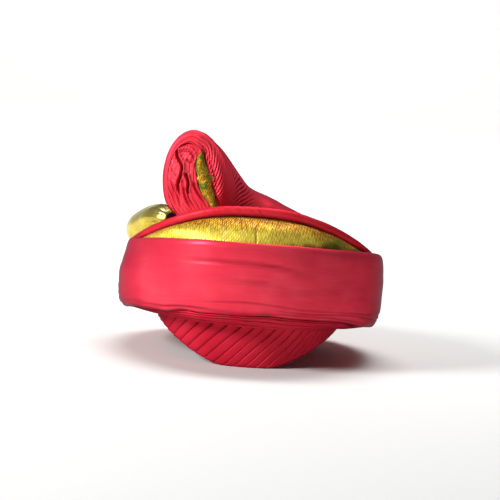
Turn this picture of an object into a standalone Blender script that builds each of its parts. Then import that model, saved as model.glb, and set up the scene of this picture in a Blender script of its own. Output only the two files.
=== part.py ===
# Ready-tied Maharashtrian style pagri in red satin and gold brocade, at its real size in metres.
# +Z is up, the front looks towards -Y, and the origin lies on the surface that the rim stands on.
#
# Everything round the head is placed by three measures. "Angle" runs round the head, 0 at the
# forehead and positive towards the wearer's left (+X). "Out" is the distance outwards from the
# cap's outer oval, and "lift" is the height above the sloping plane of the ring.

import math
from collections import namedtuple

import bmesh
import bpy
from mathutils import Vector

# Skull cap
HEAD_WIDTH = 0.167
HEAD_LENGTH = 0.197
HEAD_ROOM = 0.109
CAP_WALL = 0.0038
CAP_STRAIGHT = 0.064
EAR_ARCH = 0.031
RIM_FLAT = 0.24
PLEAT_COUNT = 52
PLEAT_DEPTH = 0.0014
PLEAT_LEAN = 1.2

# Ring: the satin band and the wraps under it
RING_HEIGHT = 0.0575
RING_SLOPE = 0.14
OVERHANG_SIDE = 0.0385
OVERHANG_END = 0.032
BAND_HEIGHT = 0.0375
BAND_DEPTH = 0.027
CREASE_DEPTH = 0.0016
WRAP_HEIGHT = 0.010

# Gold panel and the rolled edge that arches over it
EDGE_HEIGHT = 0.0325
EDGE_RADIUS = 0.0052
EDGE_INSET = 0.033
PANEL_SPAN = 86.0
PANEL_BULGE = 0.0055
PANEL_THICKNESS = 0.006

# Crown
CROWN_HEIGHT = 0.068
CROWN_FOLDS = 24
CROWN_FOLD_DEPTH = 0.0012
CROWN_TWIST = 0.5

# Gold roll
ROLL_WIDTH = 0.037
ROLL_HEIGHT = 0.040

# Crest
CREST_HEIGHT = 0.146
CREST_WIDTH = 0.066
CREST_LEAN = 12.0
CREST_RIBS = 14
CREST_RIB_DEPTH = 0.0022
MOUTH_HEIGHT_SHARE = 0.76
MOUTH_LEFT_SHARE = 0.80
MOUTH_RIGHT_SHARE = 1.06
MOUTH_OFFSET_SHARE = 0.12
MOUTH_DEPTH = 0.010
FOLD_COUNT = 5
FOLD_DEPTH = 0.0036
STRIP_WIDTH = 0.013

# Gap between pieces that touch
GAP = 0.0004

RING_COLUMNS = 72
TUBE_SIDES = 10
ROLL_SIDES = 12
CREST_SIDES = 24
FOLD_ROWS = 7
FOLD_REACH = 0.93

HALF_WIDTH = HEAD_WIDTH / 2 + CAP_WALL
HALF_LENGTH = HEAD_LENGTH / 2 + CAP_WALL
DOME_TOP = HEAD_ROOM + CAP_WALL

RED = (0.70, 0.035, 0.075, 1.0)
DEEP_RED = (0.52, 0.02, 0.05, 1.0)
GOLD = (0.75, 0.55, 0.09, 1.0)

# The band from its inner top edge, over the lip, down the face and back under: shares of the
# overhang outwards, and of the rise (above) or the drop (below)
BandRow = namedtuple("BandRow", "out_share height_share")
BAND_ROWS = (
    BandRow(0.60, 0.84),
    BandRow(0.71, 0.95),
    BandRow(0.80, 1.00),
    BandRow(0.87, 0.96),
    BandRow(0.935, 0.80),
    BandRow(1.00, 0.00),
    BandRow(0.985, -0.36),
    BandRow(0.93, -0.72),
    BandRow(0.83, -0.96),
    BandRow(0.68, -1.00),
)
CREASE_ROW = 4

# The three wound folds under the band, as shares of the wrap height below the band and of the
# room between the cap and the band's lower edge
WrapRow = namedtuple("WrapRow", "out_share depth_share")
WRAP_ROWS = (
    WrapRow(0.97, 0.06),
    WrapRow(1.00, 0.20),
    WrapRow(0.91, 0.34),
    WrapRow(0.93, 0.52),
    WrapRow(0.80, 0.66),
    WrapRow(0.78, 0.86),
    WrapRow(0.60, 1.00),
)

# Gold roll, from its nose beside the crest round the left to its tail at the back: angle in
# degrees, the rest as shares of the side overhang, the band's rise, and the roll's own size
RollRow = namedtuple("RollRow", "angle out_share lift_share width_share height_share")
ROLL_ROWS = (
    RollRow(-63, 0.02, 1.56, 0.16, 0.16),
    RollRow(-69, 0.06, 1.54, 0.55, 0.60),
    RollRow(-79, 0.24, 1.50, 0.80, 0.84),
    RollRow(-95, 0.46, 1.42, 0.92, 0.84),
    RollRow(-115, 0.47, 1.44, 0.98, 0.96),
    RollRow(-135, 0.40, 1.44, 1.00, 0.98),
    RollRow(-155, 0.33, 1.36, 0.90, 0.84),
    RollRow(-175, 0.33, 1.24, 0.70, 0.62),
    RollRow(-192, 0.38, 1.08, 0.36, 0.30),
    RollRow(-197, 0.38, 1.02, 0.12, 0.10),
)

# Crest, from the open end to the tail: places as shares of the ring's half width and half
# length, lifts and half heights as shares of the crest's rise, half widths of its full width,
# and the way it points: degrees from +Y round to +X, and degrees down
CrestRow = namedtuple("CrestRow", "x_share y_share lift_share width_share height_share yaw pitch")
CREST_ROWS = (
    CrestRow(-0.456, -0.350, 0.650, 0.440, 0.315, 12, 8),
    CrestRow(-0.440, -0.268, 0.664, 0.500, 0.336, 14, 10),
    CrestRow(-0.362, -0.075, 0.618, 0.480, 0.300, 28, 18),
    CrestRow(-0.170, 0.104, 0.465, 0.470, 0.243, 48, 22),
    CrestRow(0.115, 0.223, 0.400, 0.455, 0.199, 68, 16),
    CrestRow(0.464, 0.253, 0.315, 0.380, 0.150, 84, 12),
    CrestRow(0.680, 0.223, 0.247, 0.180, 0.055, 92, 12),
)

# The crest's lip, from the mouth outwards: share of the way to the rim, and how far forward in
# rib depths
LipRow = namedtuple("LipRow", "share forward_share")
LIP_ROWS = (
    LipRow(0.00, 0.36),
    LipRow(0.20, 1.64),
    LipRow(0.36, 0.91),
    LipRow(0.52, 1.55),
    LipRow(0.68, 0.64),
    LipRow(0.84, 0.91),
)

# The gold strip in the mouth, from its foot to its tip: place up the mouth, and share of width
StripRow = namedtuple("StripRow", "height_share width_share")
STRIP_ROWS = (
    StripRow(-0.56, 0.62),
    StripRow(-0.385, 0.84),
    StripRow(-0.21, 0.96),
    StripRow(-0.035, 1.00),
    StripRow(0.14, 0.96),
    StripRow(0.315, 0.92),
    StripRow(0.49, 0.82),
    StripRow(0.665, 0.58),
    StripRow(0.84, 0.22),
)


def clear_scene():
    for item in list(bpy.data.objects):
        bpy.data.objects.remove(item, do_unlink=True)


def satin(name, colour, roughness, metallic=0.0):
    material = bpy.data.materials.new(name)
    material.use_nodes = True
    shader = material.node_tree.nodes["Principled BSDF"]
    shader.inputs["Base Color"].default_value = colour
    shader.inputs["Roughness"].default_value = roughness
    shader.inputs["Metallic"].default_value = metallic
    material.diffuse_color = colour
    return material


def ease(value):
    """0 to 1 with soft ends, held there outside."""
    value = min(1.0, max(0.0, value))
    return value * value * (3 - 2 * value)


def along(rows, column, place):
    """A column of a table between its rows, on a Catmull-Rom curve. place counts rows."""
    last = len(rows) - 1
    place = min(float(last), max(0.0, place))
    start = min(int(place), last - 1)
    part = place - start
    before, here, there, after = (
        getattr(rows[min(last, max(0, start + step))], column) for step in (-1, 0, 1, 2)
    )
    return 0.5 * (
        2 * here
        + (there - before) * part
        + (2 * before - 5 * here + 4 * there - after) * part**2
        + (3 * here - before - 3 * there + after) * part**3
    )


def plan(angle, out):
    """Place over the floor, at an angle in radians and a distance out from the cap's oval."""
    return (HALF_WIDTH + out) * math.sin(angle), -(HALF_LENGTH + out) * math.cos(angle)


def ring_point(angle, out, lift):
    x, y = plan(angle, out)
    return Vector((x, y, RING_HEIGHT - RING_SLOPE * y + lift))


def overhang(angle):
    return OVERHANG_END + (OVERHANG_SIDE - OVERHANG_END) * math.sin(angle) ** 2


def ring_angles(columns):
    return [2 * math.pi * column / columns for column in range(columns)]


def loft(name, rings, material, closed, smooth=True):
    """Skins a row of rings of points. The row closes on itself, or its two ends are filled."""
    mesh = bmesh.new()
    rows = [[mesh.verts.new(point) for point in ring] for ring in rings]
    count = len(rings[0])
    pairs = list(zip(rows, rows[1:]))
    if closed:
        pairs.append((rows[-1], rows[0]))
    else:
        mesh.faces.new(rows[0])
        mesh.faces.new(rows[-1])
    for first, second in pairs:
        for side in range(count):
            after = (side + 1) % count
            mesh.faces.new((first[side], first[after], second[after], second[side]))
    return finish(name, mesh, material, smooth)


def bowl(name, columns, material, smooth=True):
    """Skins columns of points that all run from one top pole to one bottom pole."""
    mesh = bmesh.new()
    top = mesh.verts.new(columns[0][0])
    bottom = mesh.verts.new(columns[0][-1])
    rows = [[mesh.verts.new(point) for point in column[1:-1]] for column in columns]
    for index, first in enumerate(rows):
        second = rows[(index + 1) % len(rows)]
        mesh.faces.new((top, first[0], second[0]))
        mesh.faces.new((bottom, second[-1], first[-1]))
        for step in range(len(first) - 1):
            mesh.faces.new((first[step], first[step + 1], second[step + 1], second[step]))
    return finish(name, mesh, material, smooth)


def slab(name, front, back, material, smooth=True):
    """Skins two grids of points that lie face to face, with walls round their edges."""
    mesh = bmesh.new()
    near = [[mesh.verts.new(point) for point in column] for column in front]
    far = [[mesh.verts.new(point) for point in column] for column in back]
    columns = len(near)
    rows = len(near[0])
    for grid in (near, far):
        for column in range(columns - 1):
            for row in range(rows - 1):
                mesh.faces.new(
                    (
                        grid[column][row],
                        grid[column + 1][row],
                        grid[column + 1][row + 1],
                        grid[column][row + 1],
                    )
                )
    border = [(column, 0) for column in range(columns)]
    border += [(columns - 1, row) for row in range(1, rows)]
    border += [(column, rows - 1) for column in range(columns - 2, -1, -1)]
    border += [(0, row) for row in range(rows - 2, 0, -1)]
    for here, there in zip(border, border[1:] + border[:1]):
        mesh.faces.new(
            (near[here[0]][here[1]], near[there[0]][there[1]], far[there[0]][there[1]], far[here[0]][here[1]])
        )
    return finish(name, mesh, material, smooth)


def finish(name, mesh, material, smooth):
    bmesh.ops.recalc_face_normals(mesh, faces=mesh.faces[:])
    data = bpy.data.meshes.new(name)
    mesh.to_mesh(data)
    mesh.free()
    if smooth:
        data.shade_smooth()
        data.set_sharp_from_angle(angle=math.radians(40))
    data.materials.append(material)
    piece = bpy.data.objects.new(name, data)
    bpy.context.scene.collection.objects.link(piece)
    return piece


def cut_to_seat(piece, *cutters):
    """Takes the room of its neighbours out of a piece that lies on them."""
    for cutter in cutters:
        cutter.hide_render = True
        cutter.display_type = "WIRE"
        seat = piece.modifiers.new("seat", "BOOLEAN")
        seat.operation = "DIFFERENCE"
        seat.object = cutter


# Skull cap


def rim_height(angle):
    """The rim is flat at the forehead and the nape, and arched over the ears."""
    share = max(0.0, (abs(math.sin(angle)) - RIM_FLAT) / (1 - RIM_FLAT))
    return EAR_ARCH * share**1.5


def dome_height(share, straight, top):
    """Height of a dome at a share of its radius."""
    return straight + (top - straight) * math.sqrt(max(0.0, 1 - share**2.2))


def make_cap(material):
    """Each pleat is a pair of columns that lean together: its high edge and the low end after it."""
    columns = []
    for pleat in range(PLEAT_COUNT):
        for part, depth in ((0.0, 0.0), (0.82, PLEAT_DEPTH)):
            start = 2 * math.pi * (pleat + part) / PLEAT_COUNT
            columns.append(cap_column(start, depth))
    return bowl("cap", columns, material)


def cap_column(start, depth):
    rim = rim_height(start)
    column = [Vector((0, 0, DOME_TOP))]
    for share in (0.35, 0.65, 0.88):
        column.append(dome_point(start, share, HALF_WIDTH, HALF_LENGTH, CAP_STRAIGHT, DOME_TOP))
    for share in (1.0, 0.5, 0.06):
        height = rim + (CAP_STRAIGHT - rim) * share
        angle = start + PLEAT_LEAN * (height - rim) / HALF_WIDTH
        x, y = plan(angle, -depth * min(1.0, 2 - 2 * share + 0.2))
        column.append(Vector((x, y, height)))
    x, y = plan(start, -depth - 0.15 * CAP_WALL)
    column.append(Vector((x, y, rim)))
    for share in (0.0, 1.0):
        x, y = plan(start, -CAP_WALL)
        column.append(Vector((x, y, rim + (CAP_STRAIGHT - rim) * share)))
    inner_width = HALF_WIDTH - CAP_WALL
    inner_length = HALF_LENGTH - CAP_WALL
    for share in (0.86, 0.5):
        column.append(dome_point(start, share, inner_width, inner_length, CAP_STRAIGHT, HEAD_ROOM))
    column.append(Vector((0, 0, HEAD_ROOM)))
    return column


def dome_point(start, share, half_width, half_length, straight, top):
    angle = start + PLEAT_LEAN * (straight - rim_height(start)) / HALF_WIDTH
    if top == HEAD_ROOM:
        angle = start
    height = dome_height(share, straight, top)
    return Vector(
        (half_width * share * math.sin(angle), -half_length * share * math.cos(angle), height)
    )


# Ring


def band_drop(angle):
    """The band hangs lower over the left ear than at the forehead and over the right ear."""
    right = max(0.0, -math.sin(angle))
    return BAND_DEPTH * (1 - 0.13 * math.cos(angle) ** 2 - 0.15 * right**2)


def crease_groove(angle):
    """Lift and depth of the long crease, level at first and sinking to the wearer's left."""
    middle = BAND_HEIGHT * (0.52 - 1.4 * max(0.0, min(0.42, angle)) ** 2)
    depth = CREASE_DEPTH * ease(1.4 - abs(math.degrees(angle) + 6) / 32)
    return middle, depth


def band_section(angle):
    turned = (angle + math.pi) % (2 * math.pi) - math.pi
    reach = overhang(angle)
    drop = band_drop(angle)
    groove, depth = crease_groove(turned)
    section = [(GAP, BAND_HEIGHT * BAND_ROWS[0].height_share - 0.1 * reach)]
    for index, row in enumerate(BAND_ROWS):
        out = row.out_share * reach
        lift = row.height_share * (BAND_HEIGHT if row.height_share > 0 else drop)
        section.append((out, lift))
        if index == CREASE_ROW:
            face = 0.98 * reach
            section.append((face, groove + 0.11 * BAND_HEIGHT))
            section.append((face - depth, groove))
            section.append((face + 0.004 * reach, groove - 0.10 * BAND_HEIGHT))
    section.append((GAP, 0.1 * reach - drop))
    return [ring_point(angle, out, lift) for out, lift in section]


def make_band(material):
    rings = [band_section(angle) for angle in ring_angles(RING_COLUMNS)]
    return loft("brow_band", rings, material, closed=True)


def wrap_section(angle):
    front = max(0.0, math.cos(angle))
    back = max(0.0, -math.cos(angle))
    height = WRAP_HEIGHT * (0.18 + 0.82 * front**2 + 0.2 * back**2)
    reach = (BAND_ROWS[-1].out_share - 0.12 * (1 - front**2)) * overhang(angle)
    under = -band_drop(angle) - 3 * GAP
    section = [(GAP, under + 0.1 * overhang(angle))]
    for row in WRAP_ROWS:
        section.append((reach * row.out_share, under - height * row.depth_share))
    section.append((GAP, under - height * 0.7))
    return [ring_point(angle, out, lift) for out, lift in section]


def make_wraps(material):
    rings = [wrap_section(angle) for angle in ring_angles(RING_COLUMNS)]
    return loft("lower_wraps", rings, material, closed=True)


# Rolled edge and gold panel


def edge_path(angle):
    """Middle line of the rolled edge: its out, its lift and its radius."""
    front = max(0.0, math.cos(angle))
    side = math.sqrt(1 - front**2)
    out = OVERHANG_SIDE * 0.69 - EDGE_INSET * (1 - side**2)
    lift = BAND_HEIGHT + 0.3 * EDGE_RADIUS + EDGE_HEIGHT * (1 - side**3)
    radius = EDGE_RADIUS * (0.44 + 0.56 * ease(front * 1.5))
    return out, lift, radius


def make_edge(name, grow, material):
    """A tube with round ends that tuck in behind the band's lip."""
    span = math.radians(PANEL_SPAN + 8) + 2 * grow / HALF_WIDTH
    stations = 34
    rings = []
    for station in range(stations + 1):
        share = 2 * station / stations - 1
        angle = span * share
        out, lift, radius = edge_path(angle)
        radius = grow + radius * math.sqrt(max(0.06, 1 - abs(share) ** 24))
        ring = []
        for side in range(TUBE_SIDES):
            turn = 2 * math.pi * side / TUBE_SIDES
            ring.append(
                ring_point(angle, out + radius * math.cos(turn), lift + radius * math.sin(turn))
            )
        rings.append(ring)
    return loft(name, rings, material, closed=False)


def panel_section(angle):
    """The panel bulges between the band's lip and the rolled edge, and tucks under both."""
    out, lift, radius = edge_path(angle)
    seat = radius + 3 * GAP
    lip = BAND_ROWS[1].out_share * overhang(angle) + 2 * GAP
    foot = BAND_ROWS[1].height_share * BAND_HEIGHT + 3 * GAP
    height = max(0.0, lift - foot)
    bulge = PANEL_BULGE * ease(height / EDGE_HEIGHT * 1.2)
    thick = PANEL_THICKNESS * ease(height / EDGE_HEIGHT) * 0.8 + 3 * GAP
    top_out = out + seat * math.cos(math.radians(-52))
    top_lift = lift + seat * math.sin(math.radians(-52))
    section = []
    for share in (0.0, 0.2, 0.45, 0.7, 0.9, 1.0):
        rise = math.sin(math.pi * share) ** 0.8
        section.append(
            (
                lip + (top_out - lip) * share + 0.7 * bulge * rise,
                foot + (top_lift - foot) * share + 0.7 * bulge * rise,
            )
        )
    back_out = out + seat * math.cos(math.radians(-98))
    back_lift = lift + seat * math.sin(math.radians(-98))
    section.append((back_out, back_lift))
    section.append(
        (
            lip + (back_out - lip) * 0.5 - thick * 0.35,
            foot + (back_lift - foot) * 0.5 - thick * 0.35,
        )
    )
    section.append((lip - thick, foot - GAP))
    return [ring_point(angle, o, h) for o, h in section]


def make_panel(material):
    span = math.radians(PANEL_SPAN - 6)
    stations = 34
    rings = [
        panel_section(span * (2 * station / stations - 1)) for station in range(stations + 1)
    ]
    return loft("gold_panel", rings, material, closed=False)


# Crown


def crown_edge(angle):
    """Outs and lifts of the crown's edge, from its top corner down to where it sits on the band.

    In front it lies behind the rolled edge and the gold panel, elsewhere on the band's lip.
    """
    turned = (angle + math.pi) % (2 * math.pi) - math.pi
    out, lift, radius = edge_path(turned)
    seat = radius + 2 * GAP
    reach = overhang(angle)
    top = BAND_HEIGHT * BAND_ROWS[0].height_share + 3 * GAP
    panel_foot = BAND_ROWS[1].out_share * reach - PANEL_THICKNESS
    front = [
        (out + seat * math.cos(math.radians(turn)), lift + seat * math.sin(math.radians(turn)))
        for turn in (-168, -125)
    ]
    sink = 0.67 * PANEL_THICKNESS
    front.append(((out + panel_foot) / 2 - sink, (lift + top) / 2 - sink))
    front.append((panel_foot - 0.5 * PANEL_THICKNESS, top))
    lip = BAND_ROWS[1].out_share * reach
    back = [
        (lip, BAND_HEIGHT),
        (lip - 2 * GAP, BAND_HEIGHT * 0.965),
        (lip - 0.75 * PANEL_THICKNESS, BAND_HEIGHT * 0.90),
        (lip - 1.25 * PANEL_THICKNESS, top),
    ]
    share = ease((abs(math.degrees(turned)) - PANEL_SPAN + 4) / 14)
    return [
        (near[0] + (far[0] - near[0]) * share, near[1] + (far[1] - near[1]) * share)
        for near, far in zip(front, back)
    ]


def crown_column(start, ridge, lower):
    """One column of the crown from its top pole, out to the edge and back under to the middle."""
    pole = Vector((-0.18 * HALF_WIDTH, 0.06 * HALF_LENGTH, 0))
    pole.z = RING_HEIGHT - RING_SLOPE * pole.y + CROWN_HEIGHT
    column = [pole]
    for share in (0.3, 0.55, 0.78, 0.93):
        angle = start + CROWN_TWIST * (1 - share) ** 2
        out, lift = crown_edge(angle)[0]
        spot = pole.lerp(ring_point(angle, out, 0), share)
        lift = lift * share**2.6 + CROWN_HEIGHT * (1 - share**2.6)
        spot.z = RING_HEIGHT - RING_SLOPE * spot.y + lift + ridge * share
        column.append(spot)
    edge = [ring_point(start, out, lift) for out, lift in crown_edge(start)]
    if lower is not None:
        column.append(edge[0])
        for share in (1.0, 0.5, 0.0):
            column.append(Vector((edge[0].x * share, edge[0].y * share, lower)))
        return column
    column += edge
    top = BAND_HEIGHT * BAND_ROWS[0].height_share - 0.06 * overhang(start)
    column.append(ring_point(start, GAP, top))
    wall_top = column[-1].z
    for share in (0.9, 0.65, 0.35):
        x, y = plan(start, 0)
        under = wall_top + (DOME_TOP - wall_top) * (1 - share**5)
        under = max(under, dome_height(share, CAP_STRAIGHT, DOME_TOP)) + 2 * GAP
        column.append(Vector((x * share, y * share, under)))
    column.append(Vector((0, 0, DOME_TOP + 3 * GAP)))
    return column


def crown_columns(grow, lower):
    columns = []
    for column in range(2 * CROWN_FOLDS):
        ridge = CROWN_FOLD_DEPTH * (column % 2)
        points = crown_column(math.pi * column / CROWN_FOLDS, ridge, lower)
        spread = 1 + grow / HALF_WIDTH
        for index in range(6):
            spot = points[index]
            points[index] = Vector((spot.x * spread, spot.y * spread, spot.z + grow))
        columns.append(points)
    return columns


def make_crown(material):
    return bowl("crown", crown_columns(0.0, None), material)


# Gold roll


def roll_rings(grow):
    rings = []
    stations = 24
    last = len(ROLL_ROWS) - 1
    for station in range(stations + 1):
        place = last * station / stations
        angle = math.radians(along(ROLL_ROWS, "angle", place))
        angle += 3 * grow / HALF_WIDTH * ((station == 0) - (station == stations))
        out = along(ROLL_ROWS, "out_share", place) * OVERHANG_SIDE
        lift = along(ROLL_ROWS, "lift_share", place) * BAND_HEIGHT
        half_width = along(ROLL_ROWS, "width_share", place) * ROLL_WIDTH / 2 + grow
        half_height = along(ROLL_ROWS, "height_share", place) * ROLL_HEIGHT / 2 + grow
        ring = []
        for side in range(ROLL_SIDES):
            turn = 2 * math.pi * side / ROLL_SIDES
            ring.append(
                ring_point(
                    angle,
                    out + half_width * math.cos(turn),
                    lift + half_height * math.sin(turn),
                )
            )
        rings.append(ring)
    return rings


def make_roll(material):
    return loft("gold_roll", roll_rings(0.0), material, closed=False)


# Crest


def crest_middle(place):
    x = along(CREST_ROWS, "x_share", place) * (HALF_WIDTH + OVERHANG_SIDE)
    y = along(CREST_ROWS, "y_share", place) * (HALF_LENGTH + OVERHANG_END)
    lift = along(CREST_ROWS, "lift_share", place) * CREST_HEIGHT
    return Vector((x, y, RING_HEIGHT - RING_SLOPE * y + lift))


def crest_frame(place):
    """Middle, the ways back, right and up, and the half width and height, along the crest."""
    last = len(CREST_ROWS) - 1
    yaw = math.radians(along(CREST_ROWS, "yaw", place))
    pitch = math.radians(along(CREST_ROWS, "pitch", place))
    ahead = Vector(
        (math.sin(yaw) * math.cos(pitch), math.cos(yaw) * math.cos(pitch), -math.sin(pitch))
    )
    side = ahead.cross(Vector((0, 0, 1))).normalized()
    up = side.cross(ahead).normalized()
    lean = math.radians(CREST_LEAN) * (1 - place / last)
    side, up = (
        side * math.cos(lean) + up * math.sin(lean),
        up * math.cos(lean) - side * math.sin(lean),
    )
    half_width = along(CREST_ROWS, "width_share", place) * CREST_WIDTH
    half_height = along(CREST_ROWS, "height_share", place) * CREST_HEIGHT
    return crest_middle(place), ahead, side, up, half_width, half_height


def crest_ring(place, inset):
    """One oval ring across the crest."""
    middle, _, side, up, half_width, half_height = crest_frame(place)
    ring = []
    for step in range(CREST_SIDES):
        turn = 2 * math.pi * step / CREST_SIDES
        wide = (half_width - inset) * math.cos(turn)
        high = (half_height - inset) * math.sin(turn)
        ring.append(middle + side * wide + up * high)
    return ring


def mouth_reach():
    return crest_frame(0.0)[5] * MOUTH_HEIGHT_SHARE


def mouth_left(height_share):
    """Left edge of the mouth at a place up it, -1 at the foot and 1 at the top."""
    half_width = crest_frame(0.0)[4]
    bow = math.sqrt(max(0.0, 1 - height_share**2))
    return half_width * (-MOUTH_OFFSET_SHARE - MOUTH_LEFT_SHARE * bow)


def strip_line(height_share):
    """Outer edge of the gold strip, which slants down to the wearer's left."""
    return crest_frame(0.0)[4] * (0.56 - 0.20 * height_share)


def strip_inner(height_share):
    """Inner edge of the gold strip."""
    first, last = STRIP_ROWS[0].height_share, STRIP_ROWS[-1].height_share
    place = (len(STRIP_ROWS) - 1) * (height_share - first) / (last - first)
    return strip_line(height_share) - STRIP_WIDTH * along(STRIP_ROWS, "width_share", place)


def mouth_right(height_share):
    """Right edge: a slanting line between the ends of the oval."""
    half_width = crest_frame(0.0)[4]
    bow = math.sqrt(max(0.0, 1 - height_share**2))
    oval = half_width * (MOUTH_RIGHT_SHARE * bow - MOUTH_OFFSET_SHARE)
    return min(oval, strip_line(height_share))


def mouth_point(wide, height_share, deep):
    middle, ahead, side, up, _, _ = crest_frame(0.0)
    return middle + side * wide + up * (mouth_reach() * height_share) + ahead * deep


def mouth_ring(share, deep):
    """A ring of the lip, from the mouth's edge at 0 to the crest's rim at 1."""
    ring = []
    for step, outer in enumerate(crest_ring(0.0, 0.0)):
        turn = 2 * math.pi * step / CREST_SIDES
        height_share = math.sin(turn)
        edge = mouth_right(height_share) if math.cos(turn) > 0 else mouth_left(height_share)
        inner = mouth_point(edge, height_share, 0.0)
        ring.append(inner.lerp(outer, share) + crest_frame(0.0)[1] * deep)
    return ring


def make_crest_wrap(material):
    last = len(CREST_ROWS) - 1
    rings = [mouth_ring(0.0, MOUTH_DEPTH)]
    rings += [mouth_ring(row.share, -row.forward_share * CREST_RIB_DEPTH) for row in LIP_ROWS]
    for rib in range(CREST_RIBS):
        place = last * (rib / CREST_RIBS) ** 1.3
        following = last * ((rib + 1) / CREST_RIBS) ** 1.3
        rings.append(crest_ring(place + 0.45 * (following - place), 0.0))
        rings.append(crest_ring(following, CREST_RIB_DEPTH))
    return loft("crest_wrap", rings, material, closed=False)


def make_crest_folds(material):
    """Upright folds that fill the mouth beside the gold strip, with a hollow at their top."""
    front = []
    back = []
    columns = 2 * FOLD_COUNT
    for column in range(columns + 1):
        ridge = column % 2
        near = []
        far = []
        for row in range(FOLD_ROWS + 1):
            height_share = FOLD_REACH * (2 * row / FOLD_ROWS - 1)
            left = mouth_left(height_share) + 4 * GAP
            right = min(mouth_right(height_share), strip_inner(height_share)) - 3 * GAP
            sway = 0.3 * math.sin(2.6 * height_share + column) if 0 < column < columns else 0.0
            wide = left + (right - left) * (column + sway) / columns
            hollow = 2.0 * FOLD_DEPTH * ease((height_share - 0.35) / 0.5) - 0.5 * FOLD_DEPTH
            near.append(mouth_point(wide, height_share, hollow - FOLD_DEPTH * ridge))
            far.append(mouth_point(wide, height_share, MOUTH_DEPTH - 2 * GAP))
        front.append(near)
        back.append(far)
    return slab("crest_folds", front, back, material)


def make_crest_gold(material):
    """The border strip stands out between the folds and the wrap."""
    front = []
    back = []
    for column in range(3):
        near = []
        far = []
        for index, row in enumerate(STRIP_ROWS):
            outer = mouth_right(row.height_share) - 3 * GAP
            inner = outer - STRIP_WIDTH * row.width_share + 3 * GAP
            wide = inner + (outer - inner) * column / 2
            swell = 0.12 + 0.10 * (index % 2) + 0.16 * (column == 1)
            near.append(mouth_point(wide, row.height_share, -swell * STRIP_WIDTH))
            far.append(mouth_point(wide, row.height_share, MOUTH_DEPTH - 2 * GAP))
        front.append(near)
        back.append(far)
    return slab("crest_gold", front, back, material)


def build():
    clear_scene()
    red = satin("red satin", RED, 0.42)
    deep_red = satin("pleated red satin", DEEP_RED, 0.5)
    gold = satin("gold brocade", GOLD, 0.35, metallic=0.9)

    make_cap(deep_red)
    make_band(red)
    make_wraps(deep_red)
    make_edge("rolled_edge", 0.0, red)
    make_panel(gold)
    roll = make_roll(gold)
    crown = make_crown(red)
    wrap = make_crest_wrap(red)
    folds = make_crest_folds(red)
    strip = make_crest_gold(gold)

    edge_room = make_edge("edge_room", GAP, red)
    roll_room = loft("roll_room", roll_rings(GAP), gold, closed=False)
    crown_room = bowl("crown_room", crown_columns(2 * GAP, 0.0), red)
    cut_to_seat(roll, edge_room)
    cut_to_seat(crown, edge_room, roll_room)
    cut_to_seat(wrap, crown_room, roll_room)
    cut_to_seat(folds, crown_room)
    cut_to_seat(strip, crown_room)


build()
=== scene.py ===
import math

import bpy
import numpy as np
from mathutils import Matrix, Vector
from mathutils.bvhtree import BVHTree


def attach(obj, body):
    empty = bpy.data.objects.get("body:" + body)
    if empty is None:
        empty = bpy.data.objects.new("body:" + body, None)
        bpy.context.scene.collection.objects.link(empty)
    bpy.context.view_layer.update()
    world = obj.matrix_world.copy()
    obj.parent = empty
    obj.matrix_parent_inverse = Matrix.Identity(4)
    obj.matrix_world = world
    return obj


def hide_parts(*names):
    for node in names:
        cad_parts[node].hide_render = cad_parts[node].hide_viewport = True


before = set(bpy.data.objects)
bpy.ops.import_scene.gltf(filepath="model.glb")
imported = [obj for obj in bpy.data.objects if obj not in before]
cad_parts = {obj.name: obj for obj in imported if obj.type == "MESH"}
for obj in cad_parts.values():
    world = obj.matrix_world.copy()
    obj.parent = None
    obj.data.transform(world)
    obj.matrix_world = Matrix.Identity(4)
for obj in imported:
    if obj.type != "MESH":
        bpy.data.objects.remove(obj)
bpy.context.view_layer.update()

pi = math.pi

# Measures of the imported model's source
head = {"halfWidth": 0.0873, "halfLength": 0.1023, "wall": 0.0038, "straight": 0.064,
        "room": 0.109, "top": 0.1128, "earArch": 0.031, "rimFlat": 0.24}
ring = {"height": 0.0575, "slope": 0.14, "sideOut": 0.0385, "endOut": 0.032,
        "rise": 0.0375, "drop": 0.027, "gap": 0.0004}


def ease(value):
    value = np.clip(value, 0.0, 1.0)
    return value * value * (3 - 2 * value)


def bend(rows, places, closed=False):
    # A smooth curve through rows of points, at places counted in rows
    rows = np.asarray(rows, float)
    last = len(rows) if closed else len(rows) - 1
    places = np.clip(np.asarray(places, float), 0, last)
    start = np.minimum(places.astype(int), last - 1)
    part = (places - start).reshape((-1,) + (1,) * (rows.ndim - 1))

    def row(step):
        index = start + step
        return rows[index % len(rows)] if closed else rows[np.clip(index, 0, len(rows) - 1)]

    before, here, there, after = row(-1), row(0), row(1), row(2)
    return 0.5 * (2 * here + (there - before) * part
                  + (2 * before - 5 * here + 4 * there - after) * part ** 2
                  + (3 * here - before - 3 * there + after) * part ** 3)


def hills(across, along, seed, wrap=0):
    # Smooth random hills about 1 apart, -1 to 1. They repeat after wrap hills across.
    across, along = np.broadcast_arrays(np.asarray(across, float), np.asarray(along, float))
    table = np.random.default_rng(seed).uniform(-1, 1, (97, 97))
    left = np.floor(across).astype(int)
    low = np.floor(along).astype(int)
    x = ease(across - left)
    y = ease(along - low)
    size = wrap or 97

    def corner(stepX, stepY):
        return table[(left + stepX) % size % 97, (low + stepY) % 97]

    bottom = corner(0, 0) * (1 - x) + corner(1, 0) * x
    top = corner(0, 1) * (1 - x) + corner(1, 1) * x
    return bottom * (1 - y) + top * y


def groove(distance, width):
    # 1 on a line, falling softly to 0 at about twice its width
    return np.exp(-(distance / width) ** 2)


def pleatRise(phase, edge=0.9, round=0.55):
    # A laid pleat: it climbs from under its neighbour to its folded edge, then drops
    climb = (np.clip(phase / edge, 0, 1)) ** round
    return np.where(phase < edge, climb, 1 - ease((phase - edge) / ((1 - edge) * 0.7)))


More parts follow.
